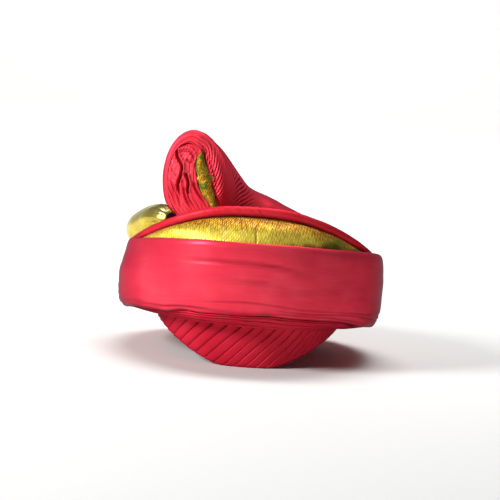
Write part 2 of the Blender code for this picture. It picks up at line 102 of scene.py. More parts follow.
def pleatFall(phase, edge=0.10):
    # The same seen the other way: a folded edge first, then a slope down under the next one
    body = 1 - 0.55 * ((phase - edge) / (1 - edge)) ** 1.2 - 0.45 * ease((phase - 0.86) / 0.14)
    return np.where(phase < edge, ease((phase - 0.25 * edge) / (0.75 * edge)), body)


def ringPlace(angle, out, lift):
    angle, out, lift = np.broadcast_arrays(angle, out, lift)
    x = (head["halfWidth"] + out) * np.sin(angle)
    y = -(head["halfLength"] + out) * np.cos(angle)
    return np.stack([x, y, ring["height"] - ring["slope"] * y + lift], axis=-1)


def oval(wide, long, angle, high):
    return np.stack([wide * np.sin(angle), -long * np.cos(angle), high], -1)


def overhang(angle):
    return ring["endOut"] + (ring["sideOut"] - ring["endOut"]) * np.sin(angle) ** 2


def centred(angle):
    return (angle + pi) % (2 * pi) - pi


def skin(name, points, **marks):
    # A grid is laid over rows and columns of points, and edges that meet are merged. Its UV map is in
    # metres: along the columns, then across the rows. Marks are attributes from 0 to 1, such as
    # crease, the painted shade that is 1 at the bottoms of the folds, and rise, which sets painted
    # shade by height on the gold panel and roll.
    rows, columns = points.shape[:2]
    bpy.ops.object.select_all(action="DESELECT")
    bpy.ops.mesh.primitive_grid_add(x_subdivisions=columns - 1, y_subdivisions=rows - 1, size=1)
    piece = bpy.context.object
    piece.name = name
    mesh = piece.data
    mesh.name = name
    spots = np.empty(len(mesh.vertices) * 3, np.float32)
    mesh.vertices.foreach_get("co", spots)
    spots = spots.reshape(-1, 3)
    column = np.rint((spots[:, 0] + 0.5) * (columns - 1)).astype(int)
    row = np.rint((spots[:, 1] + 0.5) * (rows - 1)).astype(int)
    mesh.vertices.foreach_set("co", points[row, column].astype(np.float32).ravel())
    for markName, values in marks.items():
        values = np.clip(np.broadcast_to(values, (rows, columns)), 0, 1)
        mark = mesh.attributes.new(markName, "FLOAT", "POINT")
        mark.data.foreach_set("value", values[row, column].astype(np.float32).ravel())

    steps = np.linalg.norm(np.diff(points, axis=1), axis=2).sum(axis=1).max()
    rises = np.linalg.norm(np.diff(points, axis=0), axis=2).mean(axis=1)
    heights = np.concatenate([[0.0], np.cumsum(rises)])
    corners = np.empty(len(mesh.loops), np.int32)
    mesh.loops.foreach_get("vertex_index", corners)
    cloth = np.stack([column[corners] / (columns - 1) * steps, heights[row[corners]]], axis=1)
    mesh.uv_layers[0].data.foreach_set("uv", cloth.astype(np.float32).ravel())
    mesh.update()

    bpy.ops.object.mode_set(mode="EDIT")
    bpy.ops.mesh.select_all(action="SELECT")
    bpy.ops.mesh.remove_doubles(threshold=0.000002)
    bpy.ops.mesh.normals_make_consistent(inside=False)
    bpy.ops.object.mode_set(mode="OBJECT")
    bpy.ops.object.shade_smooth()
    return piece


def applyAll(piece):
    bpy.ops.object.select_all(action="DESELECT")
    piece.select_set(True)
    bpy.context.view_layer.objects.active = piece
    for modifier in list(piece.modifiers):
        bpy.ops.object.modifier_apply(modifier=modifier.name)


def pressAgainst(piece, *neighbours, room=0.0005):
    # The cloth gives way where a neighbour lies against it
    for neighbour in neighbours:
        press = piece.modifiers.new("press", "SHRINKWRAP")
        press.target = neighbour
        press.wrap_method = "NEAREST_SURFACEPOINT"
        press.wrap_mode = "OUTSIDE"
        press.offset = room
    applyAll(piece)


def restOn(piece, support, room=0.0006):
    # Whatever would be below the support's top is set down on it
    tree = BVHTree.FromObject(support, bpy.context.evaluated_depsgraph_get())
    down = Vector((0, 0, -1))
    for vertex in piece.data.vertices:
        spot, _, _, _ = tree.ray_cast(Vector((vertex.co.x, vertex.co.y, 1.0)), down)
        if spot is not None and vertex.co.z < spot.z + room:
            vertex.co.z = spot.z + room


def slipUnder(piece, cover, room=0.0006):
    # Whatever would be above the cover's underside goes down to it
    tree = BVHTree.FromObject(cover, bpy.context.evaluated_depsgraph_get())
    up = Vector((0, 0, 1))
    for vertex in piece.data.vertices:
        spot, _, _, _ = tree.ray_cast(Vector((vertex.co.x, vertex.co.y, -1.0)), up)
        if spot is not None and vertex.co.z > spot.z - room:
            vertex.co.z = spot.z - room


def thicken(piece, thickness):
    wall = piece.modifiers.new("wall", "SOLIDIFY")
    wall.thickness = thickness
    wall.offset = -1
    applyAll(piece)


def dress(piece, node, material):
    piece.data.materials.clear()
    piece.data.materials.append(material)
    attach(piece, "root")
    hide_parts(node)
    triangles = sum(len(face.vertices) - 2 for face in piece.data.polygons)
    print(piece.name, "has", triangles, "triangles")


# Materials


def linear(hexColour):
    parts = [int(hexColour[start:start + 2], 16) / 255 for start in (1, 3, 5)]
    return [c / 12.92 if c <= 0.04045 else ((c + 0.055) / 1.055) ** 2.4 for c in parts] + [1.0]


def addNode(tree, kind, sockets=None, settings=None, **values):
    # sockets feeds inputs, by name or number, from another node or with a value. settings fills
    # the node's properties, and values more of its inputs by name.
    node = tree.nodes.new("ShaderNode" + kind)
    for name, value in (settings or {}).items():
        setattr(node, name, value)
    for name, value in values.items():
        node.inputs[name.replace("_", " ")].default_value = value
    for name, source in (sockets or {}).items():
        if isinstance(source, bpy.types.NodeSocket):
            tree.links.new(source, node.inputs[name])
        else:
            node.inputs[name].default_value = source
    return node


def readMark(tree, name):
    return addNode(tree, "Attribute", settings={"attribute_name": name}).outputs["Fac"]


def calculate(tree, operation, *terms):
    return addNode(tree, "Math", dict(enumerate(terms)), {"operation": operation}).outputs[0]


def newMaterial(name, **shaderValues):
    material = bpy.data.materials.new(name)
    material.use_nodes = True
    shader = material.node_tree.nodes["Principled BSDF"]
    for socket, value in shaderValues.items():
        shader.inputs[socket.replace("_", " ")].default_value = value
    return material, material.node_tree, shader


def colourBand(tree, factor, stops):
    band = addNode(tree, "ValToRGB", {"Fac": factor})
    ramp = band.color_ramp
    while len(ramp.elements) > 1:
        ramp.elements.remove(ramp.elements[-1])
    for index, (place, hexColour) in enumerate(stops):
        element = ramp.elements[0] if index == 0 else ramp.elements.new(place)
        element.position = place
        element.color = linear(hexColour)
    return band.outputs["Color"]


def tint(tree, colour, hexColour, factor):
    # Turns a colour towards another one, by a factor
    mixed = addNode(tree, "Mix", {"Factor": factor, "A": colour, "B": linear(hexColour)},
                    {"data_type": "RGBA"})
    return mixed.outputs["Result"]


def makeSatin(name, deep, middle, bright, roughness, streak=(0.030, 0.0011), relief=0.00006,
              grazingShadeTone="#560A2C", foldShadeTone="#5A0414"):
    # Polyester satin: long floats give fine streaks along the cloth and a soft broad sheen. Its
    # colour is painted deeper towards purple where the surface turns away from the view, a painted
    # sheen shade, and painted darker in the folds by the crease mark. Its threads are 0.1 mm, so the
    # streaks are drawn about ten times as coarse to show.
    material, tree, shader = newMaterial(
        name, Roughness=roughness, Metallic=0.25, Specular_IOR_Level=0.008,
        Specular_Tint=linear("#A04868"), Anisotropic=0.3)
    cloth = addNode(tree, "TexCoord")
    stretch = addNode(tree, "Mapping", {"Vector": cloth.outputs["UV"],
                                        "Scale": (1 / streak[0], 1 / streak[1], 1)})
    threads = addNode(tree, "TexNoise", {"Vector": stretch.outputs["Vector"]},
                      Scale=1.0, Detail=3.0, Roughness=0.6)
    clouds = addNode(tree, "TexNoise", {"Vector": cloth.outputs["Object"]},
                     Scale=22.0, Detail=2.0, Roughness=0.5)
    blend = addNode(tree, "Mix", {"A": clouds.outputs["Fac"], "B": threads.outputs["Fac"]},
                    Factor=0.25)
    colour = colourBand(tree, blend.outputs[0], ((0.18, deep), (0.5, middle), (0.86, bright)))
    # Painted sheen shade: deeper purple where the surface turns away from the view
    away = addNode(tree, "LayerWeight", Blend=0.5)
    rim = calculate(tree, "POWER", away.outputs["Facing"], 2.1)
    colour = tint(tree, colour, grazingShadeTone, rim)
    # Painted shade in the folds, from the crease mark
    colour = tint(tree, colour, foldShadeTone, readMark(tree, "crease"))
    tree.links.new(colour, shader.inputs["Base Color"])
    bump = addNode(tree, "Bump", {"Height": threads.outputs["Fac"]}, Strength=0.5, Distance=relief)
    tree.links.new(bump.outputs["Normal"], shader.inputs["Normal"])
    return material


def makeBrocade(name, low, high, glintTone, split, brownGreenShift=0.0, calm=0.5, roughness=0.36,
                grain=0.0019, turn=-38):
    # Zari brocade: flat metal thread floats in a twill, seen as grainy dots in slanting rows. The
    # floats are 0.5 mm, drawn at about 1.4 mm. Pale flecks on single threads are painted glints.
    material, tree, shader = newMaterial(
        name, Metallic=0.3, Roughness=roughness, Specular_IOR_Level=0.1,
        Specular_Tint=linear("#C8A850"))
    cloth = addNode(tree, "TexCoord")
    slant = addNode(tree, "Mapping", {"Vector": cloth.outputs["UV"],
                                      "Rotation": (0, 0, math.radians(turn)),
                                      "Scale": (1 / grain, 0.62 / grain, 1)})
    dots = addNode(tree, "TexVoronoi", {"Vector": slant.outputs["Vector"]}, Scale=1.0,
                   Randomness=0.36)
    loose = addNode(tree, "TexNoise", {"Vector": cloth.outputs["Object"]}, Scale=60.0, Detail=3.0)
    grainTone = colourBand(tree, dots.outputs["Distance"], ((0.20, "#FFFFFF"), (0.62, "#7C5628")))
    # Painted shade by height: the rise mark with some wander turns the panel from bright lemon low
    # down to darker ochre at the top, under the rolled edge; on the border strip the mark varies at
    # random
    wander = addNode(tree, "MapRange", {"Value": loose.outputs["Fac"]}, To_Min=-0.22, To_Max=0.22)
    place = calculate(tree, "ADD", readMark(tree, "rise"), wander.outputs["Result"])
    shadeAndToneZone = addNode(tree, "MapRange", {"Value": place}, From_Min=split[0], From_Max=split[1])
    tone = colourBand(tree, shadeAndToneZone.outputs["Result"], ((0.0, low), (1.0, high)))
    strength = addNode(tree, "MapRange", {"Value": shadeAndToneZone.outputs["Result"]}, To_Min=calm)
    mixed = addNode(tree, "Mix", {"Factor": strength.outputs["Result"], "A": tone, "B": grainTone},
                    {"data_type": "RGBA", "blend_type": "MULTIPLY"})
    # Painted glints: pale flecks on single thread floats
    glintCells = colourBand(tree, dots.outputs["Color"], ((0.74, "#000000"), (0.92, "#5C5C5C")))
    colour = tint(tree, mixed.outputs["Result"], glintTone, glintCells)
    # Tinted brown in patches, more towards the wearer's left, and painted green reflection low down
    # on that side
    where = addNode(tree, "SeparateXYZ", {"Vector": cloth.outputs["Object"]})
    patches = addNode(tree, "TexNoise", {"Vector": cloth.outputs["Object"]}, Scale=34.0, Detail=2.0)
    patchy = calculate(tree, "MULTIPLY_ADD", where.outputs["X"], 8.0, patches.outputs["Fac"])
    brownPart = addNode(tree, "MapRange", {"Value": patchy}, From_Min=0.55 - 0.5 * brownGreenShift,
                        From_Max=1.35 - 0.5 * brownGreenShift, To_Max=0.7)
    colour = tint(tree, colour, "#6A4A1C", brownPart.outputs["Result"])
    lower = calculate(tree, "MULTIPLY_ADD", place, -0.9, patchy)
    greenReflection = addNode(tree, "MapRange", {"Value": lower}, From_Min=0.57 - brownGreenShift,
                        From_Max=0.80 - brownGreenShift, To_Max=0.8)
    colour = tint(tree, colour, "#3E5A1A", greenReflection.outputs["Result"])
    # Painted shade in the gathers and a painted shadow under the rolled edge, from the crease mark
    colour = tint(tree, colour, "#4A3206", readMark(tree, "crease"))
    tree.links.new(colour, shader.inputs["Base Color"])
    bump = addNode(tree, "Bump", {"Height": dots.outputs["Distance"]}, {"invert": True},
                   Strength=0.9, Distance=0.00035)
    tree.links.new(bump.outputs["Normal"], shader.inputs["Normal"])
    return material


def makeLame(name, low, high):
    # Gold lame: a thin smooth foil cloth, so it mirrors broad soft lights and darkens quickly as
    # it turns away
    material, tree, shader = newMaterial(name, Metallic=0.7, Roughness=0.26)
    cloth = addNode(tree, "TexCoord")
    folds = addNode(tree, "TexNoise", {"Vector": cloth.outputs["Object"]}, Scale=70.0, Detail=4.0)
    stretch = addNode(tree, "Mapping", {"Vector": cloth.outputs["UV"], "Scale": (90, 900, 1)})
    threads = addNode(tree, "TexNoise", {"Vector": stretch.outputs["Vector"]}, Scale=1.0)
    tone = addNode(tree, "Mix", {"A": folds.outputs["Fac"], "B": threads.outputs["Fac"]},
                   Factor=0.4)
    colour = colourBand(tree, tone.outputs[0], ((0.3, low), (0.7, high)))
    # Painted shade: the upper side of the roll is tinted duller olive by the rise mark
    colour = tint(tree, colour, "#9C9052", readMark(tree, "rise"))
    # Painted shade in the folds and puckers and a painted dark hole at the nose, from the crease mark
    colour = tint(tree, colour, "#3E3306", readMark(tree, "crease"))
    tree.links.new(colour, shader.inputs["Base Color"])
    first = addNode(tree, "Bump", {"Height": folds.outputs["Fac"]}, Strength=0.5, Distance=0.0016)
    bump = addNode(tree, "Bump", {"Height": threads.outputs["Fac"],
                                  "Normal": first.outputs["Normal"]},
                   Strength=0.4, Distance=0.0002)
    tree.links.new(bump.outputs["Normal"], shader.inputs["Normal"])
    return material


bandSatin = makeSatin("smooth polyester satin", "#D42A40", "#E83C50", "#F85868", 0.33)
edgeSatin = makeSatin("rolled polyester satin", "#CC2232", "#DC2E3C", "#EC444E", 0.38)
# The pleated satin's reds are deeper than the band's, as painted shade under the overhang on the cap
# and the wound folds
shadedPleatSatin = makeSatin("pleated polyester satin", "#B4182E", "#D0283C", "#E2384A", 0.42,
                       streak=(0.0011, 0.030))
crestSatin = makeSatin("gathered polyester satin", "#D4283C", "#EA3C4C", "#F65462", 0.40,
                       streak=(0.030, 0.0012))
panelBrocade = makeBrocade("zari brocade", "#FFEE5C", "#CE9A2A", "#FFF8C8", (0.28, 0.72))
stripBrocade = makeBrocade("zari brocade border", "#F4DA48", "#BE8822", "#FFF0A0",
                           (0.1, 1.0), brownGreenShift=0.9, calm=1.0, grain=0.0014)
rollLame = makeLame("gold lame", "#B59A1E", "#F6DF3E")
print("materials made")


# Skull cap

capPleats = {"count": 55, "depth": 0.0017, "lean": 1.0, "innerDepth": 0.0005, "wander": 0.16,
             "phases": (0, 0.025, 0.045, 0.065, 0.085, 0.11, 0.16, 0.27, 0.40, 0.54, 0.68, 0.80,
                        0.89, 0.95)}


def rimHeight(angle):
    share = np.clip((np.abs(np.sin(angle)) - head["rimFlat"]) / (1 - head["rimFlat"]), 0, 1)
    return head["earArch"] * share ** 1.5


def domeHeight(share, top):
    return head["straight"] + (top - head["straight"]) * math.sqrt(max(0.0, 1 - share ** 2.2))


def makeCap():
    phases = np.array(capPleats["phases"])
    count = capPleats["count"]
    start = (np.arange(count)[:, None] + phases).ravel()
    start = np.append(start, count)
    phase = start % 1.0
    pleat = np.floor(start) % count
    angle = 2 * pi * start / count
    rim = rimHeight(angle)
    straight = head["straight"]
    wide, long = head["halfWidth"], head["halfLength"]
    # The pleats are crisp at the front and on the right, and pressed flatter on the left
    crisp = 0.25 + 0.75 * ease(0.66 - 0.9 * np.sin(angle + 0.25))
    inset = capPleats["depth"] * (1 - pleatFall(phase)) * crisp
    # Painted shade in each pleat's valley, growing towards its tucked end
    valleyShade = groove(phase - 0.985, 0.024) + groove(phase, 0.030)
    creaseShades = []
    rows = []
    for share in (0.0, 0.35, 0.65, 0.88):
        turned = angle + capPleats["lean"] * (straight - rim) / wide
        high = np.full_like(angle, domeHeight(share, head["top"]))
        rows.append(oval(wide * share, long * share, turned, high))
        creaseShades.append(0 * angle)
    for share in np.linspace(1.0, 0.05, 42):
        high = rim + (straight - rim) * share
        sway = capPleats["wander"] * hills(pleat * 0.7, high * 30, 3) * (2 * pi / count)
        turned = angle + capPleats["lean"] * (high - rim) / wide + sway * ease(share * 2)
        deep = inset * (0.75 + 0.25 * hills(pleat + 0.5, high * 60, 5))
        deep = np.minimum(deep, 0.0019) * (1 - 0.8 * ease((share - 0.85) / 0.15))
        creaseShades.append((0.85 * valleyShade + 0.25 * phase ** 2) * crisp)
        rows.append(oval(wide - deep, long - deep, turned, high))
    for drop, deep in ((0.6, 0.15), (0.9, 0.45), (1.0, 0.8)):
        back = inset + deep * 0.6 * head["wall"]
        high = rim + (straight - rim) * 0.05 * (1 - drop)
        rows.append(oval(wide - back, long - back, angle, high))
    inner = head["wall"] - capPleats["innerDepth"] * (0.5 + 0.5 * np.cos(2 * pi * start))
    for share in np.linspace(0.02, 1.0, 14):
        high = rim + (straight - rim) * share
        fade = 1 - ease((share - 0.8) / 0.2)
        back = head["wall"] - (head["wall"] - inner) * fade
        rows.append(oval(wide - back, long - back, angle, high))
    wide -= head["wall"]
    long -= head["wall"]
    for share in (0.96, 0.88, 0.76, 0.6, 0.42, 0.22, 0.0):
        high = np.full_like(angle, domeHeight(share, head["room"]))
        rows.append(oval(wide * share, long * share, angle, high))
    creaseShades += [0 * angle] * (len(rows) - len(creaseShades))
    return skin("cap_pleats", np.array(rows), crease=np.array(creaseShades))


cap = makeCap()
dress(cap, "cap", shadedPleatSatin)


# Satin band round the brow

browBand = {"columns": 640, "rows": 104, "creaseDepth": 0.0018, "creaseWidth": 0.0017,
            "dent": 0.0009, "lip": 0.0045, "slope": 0.005,
            # Out and up or down in shares of the overhang, rise and drop, and the share of the lip
            "section": ((0.60, 0.84, 0), (0.725, 0.95, 0.2), (0.80, 1.00, 0.9), (0.865, 1.00, 1),
                        (0.92, 0.93, 1), (0.955, 0.80, 0.9), (0.99, 0.45, 0.5), (1.00, 0.00, 0),
                        (0.985, -0.36, 0), (0.95, -0.66, 0), (0.90, -0.85, 0), (0.83, -0.97, 0),
                        (0.75, -1.01, 0), (0.68, -1.00, 0))}


def bandDrop(angle):
    right = np.clip(-np.sin(angle), 0, 1)
    return ring["drop"] * (1 - 0.13 * np.cos(angle) ** 2 - 0.15 * right ** 2)


def seamless(angle):
    # Chance folds fade out where the ring closes behind
    return ease((pi - np.abs(angle)) / 0.5)


def bandWave(angle):
    return 0.0013 * hills(angle * 5.5, 0, 20) * seamless(angle)


def makeBand():
    angle = np.linspace(-pi, pi, browBand["columns"] + 1)
    reach, drop, gap = overhang(angle), bandDrop(angle), ring["gap"]
    outs = [np.full_like(angle, gap)]
    lifts = [0.84 * ring["rise"] - 0.1 * reach]
    lip = browBand["lip"] * ease((np.cos(angle) + 0.25) / 0.45)
    for out, lift, raised in browBand["section"]:
        outs.append(out * reach)
        lifts.append(lift * np.where(lift > 0, ring["rise"], drop) + raised * lip)
    outs.append(np.full_like(angle, gap))
    lifts.append(0.1 * reach - drop)
    section = np.stack([np.array(outs), np.array(lifts)], axis=-1)
    count = len(section)
    places = np.concatenate([np.linspace(0, 1, 5)[:-1],
                             np.linspace(1, count - 2, browBand["rows"] - 10),
                             np.linspace(count - 2, count, 7)[1:]])
    curve = bend(section, places, closed=True)
    out, lift = curve[..., 0], curve[..., 1]
    middle = np.stack([0.5 * reach, 0.25 * (ring["rise"] - drop)], -1)
    away = curve - middle
    away /= np.linalg.norm(away, axis=-1, keepdims=True)
    face = ease((out / reach - 0.62) / 0.2)
    # The top corner is rounder on the wearer's right
    right = ease(-1.7 * np.sin(angle) - 0.6)
    out = out - browBand["slope"] * right * ease((lift / ring["rise"] - 0.2) / 0.8) * face

    # The long crease, level at first and sinking to the wearer's left, with a ridge under it and
    # painted shade along it and along a second, lower crease
    turned = np.clip(angle, 0, 0.42)
    crease = ring["rise"] * (0.66 - 1.1 * turned ** 2)
    reachOf = ease(1.3 - np.abs(np.degrees(angle) + 8) / 27)
    push = -browBand["creaseDepth"] * reachOf * groove(lift - crease, browBand["creaseWidth"])
    push += 0.0007 * reachOf * groove(lift - crease + 0.0036, 0.0026)
    paintedShade = 0.55 * reachOf * groove(lift - crease - 0.0003, 0.0013)
    second = crease - 0.0165 - 0.004 * angle
    reachTwo = ease(1.2 - np.abs(np.degrees(angle) - 2) / 14)
    push -= 0.0006 * reachTwo * groove(lift - second, 0.0013)
    paintedShade = paintedShade + 0.2 * reachTwo * groove(lift - second, 0.0010)

    # Long shallow folds that gather towards the lower edge, and pull lines at the sides; the folds
    # get painted shade along them
    below = ease((-lift / drop - 0.25) / 0.5)
    for share, seed, deep in ((0.58, 11, 0.0008), (0.76, 12, 0.0011), (0.90, 13, 0.0010)):
        line = -drop * (share + 0.07 * hills(angle * 2.2, 0, seed))
        strong = ease(0.55 + 0.8 * hills(angle * 1.6 + 5, 0, seed + 20)) * seamless(angle)
        push -= deep * strong * groove(lift - line, 0.0012)
        paintedShade = paintedShade + 0.5 * strong * groove(lift - line, 0.0008)
    fine = hills(angle * 7, lift * 420 + 1.5 * np.sin(3 * angle), 17)
    chance = 0.00025 * hills(angle * 5, lift * 260, 19) - 0.0005 * below * np.clip(fine, 0, 1)
    chance += browBand["dent"] * hills(angle * 2.5 + 3, lift * 55, 18)
    push += chance * seamless(angle)
    out = np.maximum(out + push * face * away[..., 0], gap)
    lift = lift + push * face * away[..., 1]
    lift = lift + bandWave(angle) * ease((-lift / drop - 0.6) / 0.4)
    return skin("brow_satin", ringPlace(angle, out, lift), crease=paintedShade * face)


band = makeBand()
dress(band, "brow_band", bandSatin)


# Wound folds under the band

woundFolds = {"columns": 640, "rows": 62, "height": 0.010, "folds": 3.3, "foldDepth": 0.0017}


def makeFolds():
    angle = np.linspace(-pi, pi, woundFolds["columns"] + 1)
    front, back = np.clip(np.cos(angle), 0, 1), np.clip(-np.cos(angle), 0, 1)
    height = woundFolds["height"] * (0.18 + 0.82 * front ** 2 + 0.2 * back ** 2)
    uneven = 0.12 * hills(angle * 4.5, 0, 31) + 0.07 * hills(angle * 11, 0, 32)
    height = height * (1 + uneven * front)
    creaseShades = []
    reach = (0.78 - 0.20 * (1 - front ** 2)) * overhang(angle)
    gap = ring["gap"]
    under = -bandDrop(angle) - 1.5 * gap
    rows = []
    for share in np.linspace(0, 1, woundFolds["rows"] - 12):
        # Each fold is a lens: its lines wander, meet and part again round the head
        warp = share + 0.09 * np.sin(3 * angle + 5 * share) * (1 - share) * share * 4
        warp = warp + 0.035 * hills(angle * 6, share * 3, 33) * seamless(angle)
        phase = (np.clip(warp, 0, 0.9999) * woundFolds["folds"] + 0.4) % 1.0
        bulge = pleatRise(phase, 0.86, 0.5)
        body = reach * (1.0 - 0.36 * share ** 1.6)
        close = bandWave(angle) * (1 - share) ** 4
        out = body - woundFolds["foldDepth"] * (1 - bulge) * (0.4 + 0.6 * front)
        out = out - 0.0004 * np.clip(hills(angle * 16, share * 22, 35), 0, 1) * seamless(angle)
        # Painted shade in the fold valleys
        creaseShades.append(0.4 * ease((0.35 - bulge) / 0.35))
        rows.append(ringPlace(angle, np.maximum(out, gap), under + close - height * share))
    for share in (0.75, 0.45, 0.2):
        rows.append(ringPlace(angle, np.maximum(reach * 0.64 * share, gap),
                              under - height * (0.7 + 0.3 * share)))
    for lift in (under - height * 0.7, under - height * 0.2, under + 0.1 * overhang(angle)):
        rows.append(ringPlace(angle, gap, lift))
    for share in (0.3, 0.6, 0.85):
        rows.append(ringPlace(angle, gap + (reach - gap) * share,
                              under + 0.1 * overhang(angle) * (1 - share)))
    rows.append(rows[0])
    creaseShades += [0 * angle] * (len(rows) - len(creaseShades))
    return skin("wound_folds", np.array(rows), crease=np.array(creaseShades))


wound = makeFolds()
dress(wound, "lower_wraps", shadedPleatSatin)


# Rolled edge over the gold panel

rolledEdge = {"columns": 420, "sides": 28, "span": 94, "radius": 0.0052, "inset": 0.033,
              "rise": 0.0325, "wrinkle": 0.00045}


def edgePath(angle):
    front = np.clip(np.cos(angle), 0, 1)
    side = np.sqrt(1 - front ** 2)
    out = ring["sideOut"] * 0.69 - rolledEdge["inset"] * (1 - side ** 2)
    lift = ring["rise"] + 0.3 * rolledEdge["radius"] + rolledEdge["rise"] * (1 - side ** 3)
    radius = rolledEdge["radius"] * (0.44 + 0.56 * ease(front * 1.5))
    return out, lift, radius


def besideEdge(out, lift, seat, degrees):
    turn = math.radians(degrees)
    return out + seat * math.cos(turn), lift + seat * math.sin(turn)


def makeEdge():
    share = np.linspace(-1, 1, rolledEdge["columns"] + 1)
    angle = math.radians(rolledEdge["span"]) * share
    out, lift, radius = edgePath(angle)
    radius = radius * np.sqrt(np.clip(1 - np.abs(share) ** 24, 0, 1))
    turns = np.linspace(0, 2 * pi, rolledEdge["sides"] + 1)[:, None]
    slant = angle * 34 + 1.4 * np.sin(turns + 0.6)
    wrinkle = np.clip(hills(slant, 0 * turns, 41), 0, 1) * rolledEdge["wrinkle"]
    wrinkle = wrinkle * (0.35 + 0.65 * ease(0.6 + hills(angle * 3, 0, 42)))
    swell = 1 + 0.05 * hills(angle * 5, 0, 43)
    size = radius * swell - wrinkle * ease(radius / 0.002)
    size = np.maximum(size, 0) * (radius > 0)
    return skin("rolled_edge_satin",
                ringPlace(angle, out + size * np.cos(turns), lift + size * np.sin(turns)))


edge = makeEdge()
dress(edge, "rolled_edge", edgeSatin)


# Gold panel

goldPanel = {"columns": 460, "rows": 54, "span": 80, "bulge": 0.0055, "thickness": 0.006}


def makePanel():
    share = np.linspace(-1, 1, goldPanel["columns"] + 1)
    angle = math.radians(goldPanel["span"]) * share
    out, lift, radius = edgePath(angle)
    seat = radius + 3 * ring["gap"]
    lip = 0.71 * overhang(angle) + 2 * ring["gap"]
    foot = 0.95 * ring["rise"] + 3 * ring["gap"]
    height = np.clip(lift - foot, 0, 1)
    bulge = 0.7 * goldPanel["bulge"] * ease(height / rolledEdge["rise"] * 1.2)
    thick = goldPanel["thickness"] * ease(height / rolledEdge["rise"]) * 0.8 + 3 * ring["gap"]
    topOut, topLift = besideEdge(out, lift, seat, -52)
    backOut, backLift = besideEdge(out, lift, seat, -98)
    outs, lifts, creaseShades = [], [], []
    for step in np.linspace(0, 1, goldPanel["rows"] - 8):
        rise = math.sin(pi * step) ** 0.8
        pull = bulge * rise
        # Gathers run up from the band, deepest near the wearer's left, and one stands alone
        gather = np.clip(hills(angle * 9 + 1.2 * step, step * 1.3, 51), 0, 1) * 0.0011
        gather = gather * (0.35 + 0.65 * ease((angle - 0.1) / 0.5))
        alone = 0.0005 * groove(angle - 0.03 + 0.03 * step, 0.009) * ease((0.75 - step) / 0.3)
        soft = 0.0009 * hills(angle * 4, step * 2, 52)
        pull = pull - ((gather + alone - soft) * ease(step * 6) * ease((1 - step) * 6)
                       * ease(height / 0.012))
        # Painted shade in the gathers and along the one that stands alone, and a painted shadow along
        # the top under the rolled edge
        creaseShades.append(1300 * alone + 0.3 * ease((gather - 0.0004) / 0.0007)
                       + 0.6 * groove(np.full_like(angle, 1 - step), 0.07))
        outs.append(lip + (topOut - lip) * step + pull)
        lifts.append(foot + (topLift - foot) * step + pull)
    outs += [backOut, (lip + backOut) / 2 - thick * 0.35, lip - thick]
    lifts += [backLift, (foot + backLift) / 2 - thick * 0.35, np.full_like(angle, foot - ring["gap"])]
    outs.append(outs[0])
    lifts.append(lifts[0])
    outs, lifts = np.array(outs), np.array([np.broadcast_to(row, angle.shape) for row in lifts])
    close = np.sqrt(np.clip(1 - np.abs(share) ** 40, 0, 1))
    outs = outs.mean(axis=0) + (outs - outs.mean(axis=0)) * close
    lifts = lifts.mean(axis=0) + (lifts - lifts.mean(axis=0)) * close
    creaseShades += [0 * angle] * (len(outs) - len(creaseShades))
    # The rise mark runs from the foot to the top, and sets the painted shade that darkens the upper
    # part
    steps = np.append(np.linspace(0, 1, len(outs) - 4), [1, 0.5, 0, 0])[:, None]
    return skin("brocade_panel", ringPlace(angle, outs, lifts), crease=np.array(creaseShades), rise=steps)


panel = makePanel()
dress(panel, "gold_panel", panelBrocade)


# Gold roll on the wearer's right

goldRoll = {"columns": 340, "sides": 84, "width": 0.037, "height": 0.040, "fold": 0.0008,
            "pucker": 0.0009,
            "path": ((-60, 0.03, 1.56, 0.36, 0.42), (-67, 0.08, 1.57, 0.70, 0.78),
                     (-78, 0.22, 1.51, 0.82, 0.86), (-95, 0.46, 1.36, 0.92, 0.79),
                     (-115, 0.47, 1.42, 0.98, 0.91), (-135, 0.40, 1.44, 1.00, 0.98),
                     (-155, 0.33, 1.36, 0.90, 0.84), (-175, 0.33, 1.24, 0.70, 0.62),
                     (-192, 0.38, 1.08, 0.36, 0.30), (-197, 0.38, 1.02, 0.12, 0.10))}


def makeRoll():
    share = np.linspace(0, 1, goldRoll["columns"] + 1)
    path = bend(goldRoll["path"], share * (len(goldRoll["path"]) - 1))
    angle = np.radians(path[:, 0])
    out, lift = path[:, 1] * ring["sideOut"], path[:, 2] * ring["rise"]
    wide, high = path[:, 3] * goldRoll["width"] / 2, path[:, 4] * goldRoll["height"] / 2
    turns = np.linspace(0, 2 * pi, goldRoll["sides"] + 1)[:, None]
    drift = turns / (2 * pi) * 9 + 1.6 * share
    folds = np.clip(hills(drift, share * 7, 61, wrap=9), -0.2, 1) * goldRoll["fold"]
    puckers = (0.5 + 0.5 * np.cos(11 * turns + 2 * np.sin(3 * turns))) * goldRoll["pucker"]
    puckers = puckers * ease((0.2 - share) / 0.17) * ease(share / 0.03)
    soft = 0.0009 * hills(turns / (2 * pi) * 4, share * 12, 62, wrap=4)
    size = ease(np.minimum(wide, high) / 0.012)
    inset = (folds + puckers - soft) * size
    closing = np.sqrt(np.clip(1 - np.abs(2 * share - 1) ** 60, 0, 1))
    wide, high = (wide - inset) * closing, (high - inset) * closing
    # Painted shade in the puckers and folds, and a painted dark hole at the nose
    paintedShade = 0.4 * ease(puckers / 0.0008 - 0.3) + 0.3 * ease(folds / 0.0007 - 0.35)
    paintedShade = paintedShade + ease((0.026 - share) / 0.014)
    # Painted shade on the roll's upper side
    paintedTopShade = 0.35 + 0.75 * np.sin(turns - 0.25) + 0.3 * hills(drift, share * 9, 63, wrap=9)
    return skin("lame_roll",
                ringPlace(angle, out + wide * np.cos(turns), lift + high * np.sin(turns)),
                crease=paintedShade, rise=ease(paintedTopShade))


roll = makeRoll()
pressAgainst(roll, edge)
dress(roll, "gold_roll", rollLame)


# Crown

